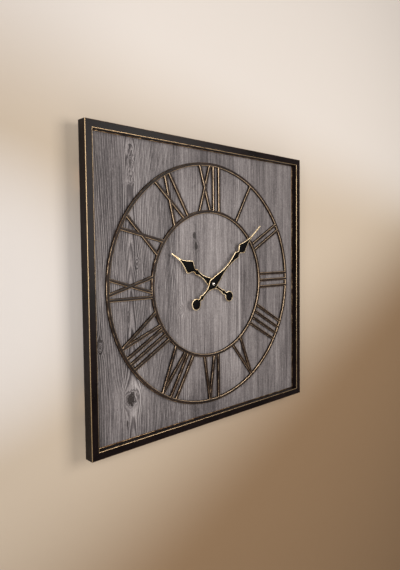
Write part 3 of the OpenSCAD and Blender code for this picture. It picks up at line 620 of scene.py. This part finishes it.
# each stroke as (offset at the outer hoop, offset at the inner hoop), clockwise positive
numerals = [
    upright(0),
    upright(-7.5) + upright(7.5),
    upright(-15.5) + upright(0) + upright(15.5),
    upright(-24) + upright(-8) + upright(8) + upright(24),
    vee(0),
    upright(-20) + vee(6),
    upright(-29) + upright(-14) + vee(9),
    upright(-34) + upright(-20) + upright(-6) + vee(17),
    upright(-18) + ex(6),
    ex(0),
    ex(-8) + upright(18),
    ex(-15) + upright(10) + upright(26),
]


def stroke(name, hour, ends, drop, stands_for):
    """A strip from hoop to hoop. Along it the offset goes evenly from the inner to the outer
    one; each place of the section stops ENTRY inside a hoop, so the ends follow its curve.
    The gold is rubbed more near the ends."""
    top, foot = ends
    lean = (top - foot) / (numeral_top - numeral_foot)
    loop, rub = strip_section(STROKE, strip_height - drop)
    side = loop[:, 0] * math.hypot(1, lean)
    share = np.linspace(0, 1, STROKE_STATIONS)[:, None]
    start = np.sqrt((numeral_foot - ENTRY) ** 2 - (foot + side) ** 2)
    stop = np.sqrt((numeral_top + ENTRY) ** 2 - (top + side) ** 2)
    up = start + (stop - start) * share
    across = foot + lean * (up - numeral_foot) + side
    angle = math.radians(30 * hour)
    x = across * math.cos(angle) + up * math.sin(angle)
    z = up * math.cos(angle) - across * math.sin(angle)
    y = np.broadcast_to(-board_front - loop[:, 1], x.shape)
    handled = 1 + HANDLED * (1 - rise(np.minimum(share, 1 - share), 0.02, 0.12))
    points = np.stack([x, y, z], -1)
    return skin(name, points, strip_paint, "dial_bronze", stands_for, rub=rub * handled)


for hour, strokes in enumerate(numerals, 1):
    for k, ends in enumerate(strokes):
        crossing = ends[0] != ends[1] and k > 0 and strokes[k - 1][0] != strokes[k - 1][1]
        drop = LOWER * (LOWER_CROSSING if crossing else 1)
        stroke(f"numeral_{hour:02d}_strip_{k + 1}", hour, ends, drop, [f"numeral_{hour:02d}"])
print(sum(map(len, numerals)), "strokes in twelve numerals")

# %% [markdown]
# The hands are cut from sheet brass, blacked, with the edge left gold. Their outline is in
# the CAD model already, so it is measured there: each point of the flat hand, turned back
# to twelve, gives a half width at its distance along the hand. The black field is the same
# outline eaten inwards by the border's width. Eating by a disc of radius b has a formula:
# at each distance, the least of (half width at a neighbour) - (the disc's height there).
# The last fifth of each hand's length, its tip, stays gold all over.

# %% Hands
BORDER = 1.35
TIP = 0.8
PROUD = 0.14
BORDER_ROUND, FIELD_ROUND = 0.5, 0.12
HUB = 8
STATION = 0.55
EVENED, EVENED_BY, EVENED_MOST = 1.2, 0.7, 0.15
FIELD_LEAST, FIELD_SUNK = 0.12, 0.25


def hand_outline(node):
    """The hand's clockwise angle from twelve, and its half width as (distances, half widths)."""
    points = node_points(node)
    away = np.hypot(points[:, 0], points[:, 2])
    tip = points[away > away.max() - 0.5].mean(0)
    angle = math.atan2(tip[0], tip[2])
    along = points[:, 0] * math.sin(angle) + points[:, 2] * math.cos(angle)
    across = points[:, 0] * math.cos(angle) - points[:, 2] * math.sin(angle)
    edge = away > HUB
    order = np.argsort(along[edge])
    return angle, along[edge][order], np.abs(across[edge])[order]


def half_width(at, along, across):
    """Half the hand's width at each distance, from its outline: straight between its points,
    evened over EVENED either way but never more than EVENED_MOST wider; nothing past the ends."""
    spread = np.linspace(-EVENED, EVENED, 9)
    weight = np.exp(-((spread / EVENED_BY) ** 2))
    found = np.interp(np.add.outer(at, spread), along, across)
    evened = (found * weight).sum(-1) / weight.sum()
    outside = (at < along[0]) | (at > along[-1])
    return np.where(outside, 0.0, np.minimum(evened, np.interp(at, along, across) + EVENED_MOST))


def eaten(at, along, across, border):
    """The half width less a border that is measured square to the edge."""
    reach = np.linspace(-border, border, 31)
    near = half_width(np.add.outer(at, reach), along, across) - np.sqrt(border**2 - reach**2)
    return near.min(-1)


def blade(name, at, width, angle, front, back, rounding, finish, stands_for, body, slot):
    """Point (station, place): stations run down the hand; the loop goes across the front with
    rounded edges, down a side and across the back."""
    round_by = np.minimum(rounding, width * 0.6)[:, None]
    w = width[:, None]
    fall = np.radians([90, 60, 30, 0])
    inward, sunk = 1 - np.cos(fall), 1 - np.sin(fall)
    edge_x = np.concatenate([w - round_by * inward, w], 1)
    edge_y = np.concatenate([front + round_by * sunk, np.full_like(w, back)], 1)
    across = np.concatenate([-edge_x[:, ::-1], 0 * w, edge_x], 1)
    depth = np.concatenate([edge_y[:, ::-1], np.full_like(w, front), edge_y], 1)
    along = np.broadcast_to(at[:, None], across.shape)
    x = across * math.cos(angle) + along * math.sin(angle)
    z = along * math.cos(angle) - across * math.sin(angle)
    return skin(name, np.stack([x, depth, z], -1), finish, slot, stands_for, body)


# %% [markdown]
# The border is old gold, brightest along its rounded edge; the field is satin black with
# the faint haze that handling leaves.

# %% Gold and black of the hands


def worn_gold(name, colour, dull, rough):
    finish = Finish(name, Metallic=0.7)
    patina = finish.noise(9, 5, 0.6)
    fine = finish.noise(0.6, 3, 0.6)
    tarnish = (patina + (fine - 0.5) * 0.5).step(0.34, 0.58)
    return finish.feed(
        Base_Color=finish.mix(tarnish, dull, colour),
        Roughness=rough + (patina - 0.5) * 0.25,
        Normal=finish.bump(fine, 0.02),
    )


def satin_black(name, colour, rough):
    finish = Finish(name, IOR=1.5, Specular_IOR_Level=0.05)
    haze = finish.noise(16, 4)
    fine = finish.noise(0.5, 2)
    return finish.feed(
        Base_Color=finish.mix(haze.step(0.35, 0.8), colour, tuple(2.2 * c for c in colour)),
        Roughness=rough + (haze - 0.5) * 0.2,
        Normal=finish.bump(fine, 0.015),
    )


hand_gold = worn_gold("hand_gold", (0.92, 0.76, 0.50), (0.42, 0.28, 0.13), 0.38)
hand_black = satin_black("hand_black", (0.0010, 0.0008, 0.0008), 0.5)

# %% Cut and blacken the hands


def spade_hand(node):
    angle, along, across = hand_outline(node)
    low, high = extent(node)
    between = np.arange(along[0] + 0.15, along[-1], STATION)
    stations = np.concatenate([[along[0] + 0.02], between, [along[-1]]])
    whole = np.maximum(half_width(stations, along, across), 0.03)
    stands_for = ([node], node, "hand_black")
    blade(f"{node}_border", stations, whole, angle, low[1] + PROUD, high[1],
          BORDER_ROUND, hand_gold, *stands_for)
    field = eaten(stations, along, across, BORDER)
    wide = np.flatnonzero((field > FIELD_LEAST) & (stations < TIP * along[-1]))
    shown = slice(wide[0], wide[-1] + 1)
    blade(f"{node}_field", stations[shown], np.maximum(field[shown], 0.05), angle, low[1],
          low[1] + PROUD + FIELD_SUNK, FIELD_ROUND, hand_black, *stands_for)
    print(node, f"points to {math.degrees(angle):.1f} degrees and reaches {along[-1]:.0f}")


spade_hand("hour_hand")
spade_hand("minute_hand")

# %% [markdown]
# The hand nut is a small turned dome. A profile of radius against depth, spun about the
# hand axis, is its whole shape, with a flat rim and a shallow groove above it.

# %% Hand nut


def turned(name, profile, finish, slot, stands_for, body, stations=64):
    """Spins (radius, depth) pairs about the hand axis."""
    radius, depth = np.array(profile, float).T
    turn = np.linspace(0, 2 * np.pi, stations, endpoint=False)[:, None]
    x, z = radius * np.sin(turn), radius * np.cos(turn)
    points = np.stack([x, np.broadcast_to(depth, x.shape), z], -1)
    return skin(name, points.transpose(1, 0, 2), finish, slot, stands_for, body)


def domed_profile(radius, back, front):
    """From the back's middle out along it, up a rim, over a groove and up a quarter ellipse."""
    height = back - front
    rim = back - 0.28 * height
    angle = np.radians(np.linspace(0, 84, 14))
    dome = np.stack([0.93 * radius * np.cos(angle), rim - 0.04 * height - 0.68 * height * np.sin(angle)], -1)
    foot = [(0.6 * radius, back), (0.96 * radius, back), (radius, back - 0.05 * height), (radius, rim)]
    return [*foot, (0.97 * radius, rim - 0.03 * height), (0.91 * radius, rim - 0.02 * height), *dome]


def polished(name, colour, rough, scratch=0.02):
    finish = Finish(name, Metallic=1.0)
    smear = finish.noise(3, 4)
    line = finish.noise(0.4, 2, 0.5, (12, 1, 1))
    return finish.feed(
        Base_Color=finish.mix(smear, tuple(0.78 * c for c in colour), colour),
        Roughness=rough + (smear - 0.5) * 0.12 + (line - 0.5) * 0.08,
        Normal=finish.bump(line, scratch),
    )


nut_low, nut_high = extent("hand_nut")
nut_steel = polished("nut_steel", (0.86, 0.82, 0.74), 0.16, 0.004)
nut_profile = domed_profile(nut_high[0], nut_high[1], nut_low[1])
turned("domed_nut", nut_profile, nut_steel, "nut_steel", ["hand_nut"], "minute_hand")

# %% [markdown]
# Everything else keeps its CAD shape and only needs its finish. The finishes below are made
# by a few recipes: brushed or cast metal, moulded plastic, planed pine and pressed felt.

# %% Metals


def brushed(name, colour, rough, along=(14, 1, 1), grain=0.35, stain=(0.6, 0.6, 0.6)):
    """Metal with drawn lines along one axis and slow stains."""
    finish = Finish(name, Metallic=1.0)
    line = finish.noise(grain, 3, 0.6, along)
    patch = finish.noise(12, 4)
    dull = tuple(c * s for c, s in zip(colour, stain))
    return finish.feed(
        Base_Color=finish.mix((patch + (line - 0.5) * 0.5).step(0.3, 0.7), dull, colour),
        Roughness=rough + (line - 0.5) * 0.2 + (patch - 0.5) * 0.12,
        Normal=finish.bump(line, 0.012),
    )


metals = {
    "zinc": brushed("yellow_zinc", (0.72, 0.63, 0.40), 0.34, (1, 1, 1), 0.8, (0.75, 0.6, 0.55)),
    "plate_steel": brushed("rolled_steel", (0.56, 0.57, 0.58), 0.38),
    "brass": brushed("turned_brass", (0.78, 0.58, 0.27), 0.28, (1, 8, 1), 0.3, (0.7, 0.6, 0.5)),
    "pin_brass": brushed("drawn_brass", (0.70, 0.50, 0.24), 0.35, (1, 8, 1)),
    "iron": brushed("stamped_iron", (0.36, 0.37, 0.39), 0.42),
    "crystal_can": brushed("drawn_can", (0.80, 0.81, 0.82), 0.25, (1, 1, 8)),
    "nickel": brushed("nickel_strip", (0.80, 0.77, 0.70), 0.26, (1, 1, 6)),
    "arbor_steel": brushed("turned_steel", (0.66, 0.66, 0.67), 0.27, (1, 8, 1)),
}

# %% [markdown]
# Plastic is lit more by its texture than by its colour: spark-eroded moulds leave a fine
# even grain on the case, and polished ones leave the wheels smooth.

# %% Plastics and rubber


def moulded(name, colour, rough, grain=0.35, depth=0.02, mottle=0.12):
    finish = Finish(name, IOR=1.49)
    spark = finish.noise(grain, 2, 0.5)
    flow = finish.noise(18, 3)
    darker = tuple(c * (1 - mottle) for c in colour)
    lighter = tuple(min(1.0, c * (1 + mottle) + 0.002) for c in colour)
    return finish.feed(
        Base_Color=finish.mix(flow, darker, lighter),
        Roughness=rough + (spark - 0.5) * 0.25,
        Normal=finish.bump(spark, depth),
    )


plastics = {
    "case_plastic": moulded("case_plastic", (0.022, 0.022, 0.024), 0.52, 0.45, 0.045, 0.3),
    "cover_plastic": moulded("cover_plastic", (0.032, 0.032, 0.035), 0.5, 0.45, 0.045, 0.3),
    "plate_plastic": moulded("plate_plastic", (0.68, 0.65, 0.57), 0.42, 0.6, 0.01),
    "wheel_plastic": moulded("wheel_plastic", (0.82, 0.79, 0.70), 0.3, 0.8, 0.005),
    "knob_plastic": moulded("knob_plastic", (0.06, 0.06, 0.065), 0.45, 0.4, 0.03),
    "rubber": moulded("rubber", (0.018, 0.018, 0.018), 0.75, 0.25, 0.02),
    "board_green": moulded("board_green", (0.03, 0.15, 0.055), 0.28, 1.2, 0.01, 0.25),
}

# %% [markdown]
# The battens are bare planed pine. Their grain runs along X, so the noise is stretched that
# way, and a wave warped by it draws the growth lines. Felt is short fibres in every direction,
# with a soft sheen at its edges. The coil is wound wire, ribbed about twice a millimetre.

# %% Pine, felt, wire and wrap
WIRE_PITCH = 0.45


def planed_pine():
    finish = Finish("planed_pine", IOR=1.45)
    warp = finish.noise(30, 3, 0.5, (9, 1, 1))
    rings = ((finish.axis(2) * 1000 + warp * 26) * 1.3).maths("SINE")
    late = (rings * 0.5 + 0.5).step(0.35, 0.95)
    fibre = finish.noise(0.5, 3, 0.6, (50, 1, 1))
    colour = finish.mix(late, (0.56, 0.40, 0.23), (0.38, 0.23, 0.105))
    aged = finish.mix(finish.noise(40, 3, 0.5, (3, 1, 1)).step(0.4, 0.9) * 0.5, colour, (0.36, 0.26, 0.16))
    return finish.feed(
        Base_Color=finish.mix((fibre - 0.35) * 0.5, aged, (0.28, 0.17, 0.08)),
        Roughness=0.66 + (fibre - 0.5) * 0.2,
        Normal=finish.bump(fibre * 0.6 + late * 0.4, 0.08),
    )


def pressed_felt():
    finish = Finish("pressed_felt", Sheen_Weight=0.4, Sheen_Roughness=0.5)
    fluff = finish.noise(0.35, 4, 0.7)
    lump = finish.noise(3.5, 3)
    return finish.feed(
        Base_Color=finish.mix(fluff, (0.035, 0.035, 0.033), (0.14, 0.135, 0.125)),
        Roughness=0.9 + (lump - 0.5) * 0.1,
        Normal=finish.bump(fluff * 0.7 + lump * 0.3, 0.25),
    )


def wound_copper():
    finish = Finish("wound_copper", Metallic=0.8, Coat_Weight=0.5, Coat_Roughness=0.15)
    turns = (finish.axis(0) * (1000 * 2 * math.pi / WIRE_PITCH)).maths("SINE")
    tone = finish.noise(2, 3)
    return finish.feed(
        Base_Color=finish.mix(tone, (0.36, 0.12, 0.04), (0.58, 0.24, 0.09)),
        Roughness=0.3 + tone * 0.15,
        Normal=finish.bump(turns * 0.5 + 0.5, 0.12),
    )


def cell_wrap():
    """Plain shrink wrap in two tones, split across the cell, with a glossy skin."""
    finish = Finish("cell_wrap", Coat_Weight=0.6, Coat_Roughness=0.12, IOR=1.5)
    band = (finish.axis(0) * 1000).step(8.0, 8.3)
    ripple = finish.noise(5, 3, 0.5, (1, 1, 2))
    body = finish.mix(ripple, (0.035, 0.037, 0.042), (0.055, 0.058, 0.064))
    end = finish.mix(ripple, (0.42, 0.30, 0.13), (0.55, 0.41, 0.20))
    return finish.feed(
        Base_Color=finish.mix(band, end, body),
        Metallic=0.5 - band * 0.35,
        Roughness=0.32 + (ripple - 0.5) * 0.15,
        Normal=finish.bump(ripple, 0.05),
    )


others = {
    "batten_wood": planed_pine(),
    "felt": pressed_felt(),
    "copper": wound_copper(),
    "cell_wrap": cell_wrap(),
    "frame_paint": frame_paint,
    "plank_wood": wood,
    "dial_bronze": strip_paint,
    "hand_black": hand_black,
    "nut_steel": nut_steel,
}

# %% [markdown]
# A CAD node's mesh may not be changed, but modifiers are allowed. Welding its loose
# triangles, merging those that lie flat and bevelling what is sharp gives sawn, moulded and
# stamped parts the fine edge that catches light, with their true shape underneath.

# %% Finish the CAD parts
EASED = {"batten_upper": 0.8, "batten_lower": 0.8, "movement_case": 0.3, "movement_cover": 0.25,
         "hanger_plate": 0.2, "corner_plates": 0.2, "wall_pads": 0.35, "setting_knob": 0.12,
         "hex_nut": 0.2}


def ease(node, width):
    """Bevels what is sharper than 40 degrees, after welding and merging flat triangles."""
    made = frame["nodes"][node]
    made.modifiers.new("weld", "WELD").merge_threshold = 1e-6
    flat = made.modifiers.new("flat", "DECIMATE")
    flat.decimate_type, flat.angle_limit = "DISSOLVE", math.radians(0.5)
    bevel = made.modifiers.new("bevel", "BEVEL")
    bevel.width, bevel.segments = width / 1000, 2
    bevel.limit_method, bevel.angle_limit = "ANGLE", math.radians(40)
    bevel.harden_normals = True


slots = {part["node"]: part["material_slot"] for part in frame["record"]["subparts"]}
finishes = {**metals, **plastics, **others}
for node, made in frame["nodes"].items():
    for place in made.material_slots:
        place.material = finishes[slots[node]]
for node, width in EASED.items():
    ease(node, width)
print(len(finishes), "finishes on", len(slots), "parts")

# %% [markdown]
# The clock hangs on a plain plastered wall. The wall is one sheet that can be seen only
# from the room and throws no shadow, so the clock's back can be looked at, and lit, from
# behind it. The room's light is painted into its colour: painted shade takes it from warm
# white down to tan towards the lower right, and a little darker at the left, and painted
# light makes it paler beside the clock and above it.

# %% Wall and floor
WALL_REACH, WALL_Y = 2.6, 0.0004
FLOOR_Z = -1.35


def sheet_of(name, corners, material):
    mesh = bpy.data.meshes.new(name)
    mesh.from_pydata(corners, [], [(0, 1, 2, 3)])
    mesh.materials.append(material)
    made = bpy.data.objects.new(name, mesh)
    bpy.context.scene.collection.objects.link(made)


def plaster():
    finish = Finish("plaster")
    x, z = finish.axis(0), finish.axis(2)
    # painted shade: the colour darkens to tan towards the lower right
    tan = finish.mix((z - x * 0.45).step(-0.62, -0.1), (0.26, 0.165, 0.088), (0.585, 0.49, 0.38))
    # painted light: a paler round patch left of the clock, and a paler band across the top
    painted_light_pool = 1 - ((x * 3.4 + 1.6) ** 2 + (z * 3.4) ** 2).step(0.0, 1.0)
    painted_light_above = (z + x * 0.12).step(0.2, 0.5) * 0.85
    colour = finish.mix(painted_light_pool.maths("MAXIMUM", painted_light_above), tan, (0.775, 0.735, 0.70))
    finish.feed(
        # painted shade: a little darker towards the left
        Base_Color=finish.mix(x.step(-0.1, -0.55) * 0.16, colour, (0, 0, 0)),
        Roughness=0.9 + (finish.noise(30) - 0.5) * 0.1,
        Normal=finish.bump(finish.noise(2.5, 4), 0.15),
    )
    seen_from_behind, shadow_ray = finish.add("NewGeometry", out=6), finish.add("LightPath", out=1)
    clear = finish.add("BsdfTransparent")
    lit = Wire(finish, finish.shader.outputs[0])
    both = finish.add("MixShader", seen_from_behind.maths("MAXIMUM", shadow_ray), lit, clear)
    finish.join(both, finish.nodes["Material Output"].inputs["Surface"])
    return finish.material


def pale_floor():
    finish = Finish("pale_floor")
    grain = finish.noise(60, 4)
    colour = finish.mix(grain, (0.62, 0.59, 0.55), (0.68, 0.65, 0.61))
    return finish.feed(Base_Color=colour, Roughness=0.6 + grain * 0.1)


R, Y, F = WALL_REACH, WALL_Y, FLOOR_Z
sheet_of("wall", [(-R, Y, F), (R, Y, F), (R, Y, R), (-R, Y, R)], plaster())
sheet_of("floor", [(-R, -2 * R, F), (R, -2 * R, F), (R, R, F), (-R, R, F)], pale_floor())

# %% [markdown]
# The key light is a soft window on the right and a little above, so that the hands and the
# frame throw their shadows down to the left. A larger and stronger one far on the left
# lights the wall there and the frame's left side. A small one behind the wall lights the
# back. The camera's place, turn, lens and shift were fitted to the frame's four corners.

# %% Lights and camera


def window(name, place, size, power, colour):
    """A square light that faces the hand axis at the wall."""
    light = bpy.data.lights.new(name, "AREA")
    light.shape, light.size, light.energy, light.color = "SQUARE", size, power, colour
    made = bpy.data.objects.new(name, light)
    made.location = place
    made.rotation_euler = (-Vector(place)).to_track_quat("-Z", "Y").to_euler()
    bpy.context.scene.collection.objects.link(made)


window("key", (0.78, -1.75, 0.36), 1.1, 22, (1.0, 0.95, 0.90))
window("fill", (-1.9, -1.7, 0.3), 1.6, 46, (0.99, 0.965, 0.965))
window("back_fill", (0.5, 1.7, 0.15), 0.9, 8, (1.0, 0.98, 0.95))
world = bpy.data.worlds.new("room")
world.use_nodes = True
room_light = world.node_tree.nodes["Background"].inputs
room_light["Color"].default_value = (0.80, 0.74, 0.67, 1)
room_light["Strength"].default_value = 0.24
bpy.context.scene.world = world

EYE = (-0.7410, -0.8313, 0.0732)
YAW, PITCH, ROLL = (math.radians(a) for a in (45.49, -3.02, -0.42))
camera = bpy.data.cameras.new("camera")
camera.lens, camera.sensor_width = 31.81, 36
camera.shift_x, camera.shift_y = -0.0625, -0.0152
camera.clip_start, camera.clip_end = 0.02, 20
eye = bpy.data.objects.new("camera", camera)
aimed = Matrix.Rotation(-YAW, 4, "Z") @ Matrix.Rotation(math.pi / 2 + PITCH, 4, "X")
eye.matrix_world = Matrix.Translation(EYE) @ aimed @ Matrix.Rotation(ROLL, 4, "Z")
bpy.context.scene.collection.objects.link(eye)
bpy.context.scene.camera = eye
bpy.context.scene.view_settings.view_transform = "Standard"
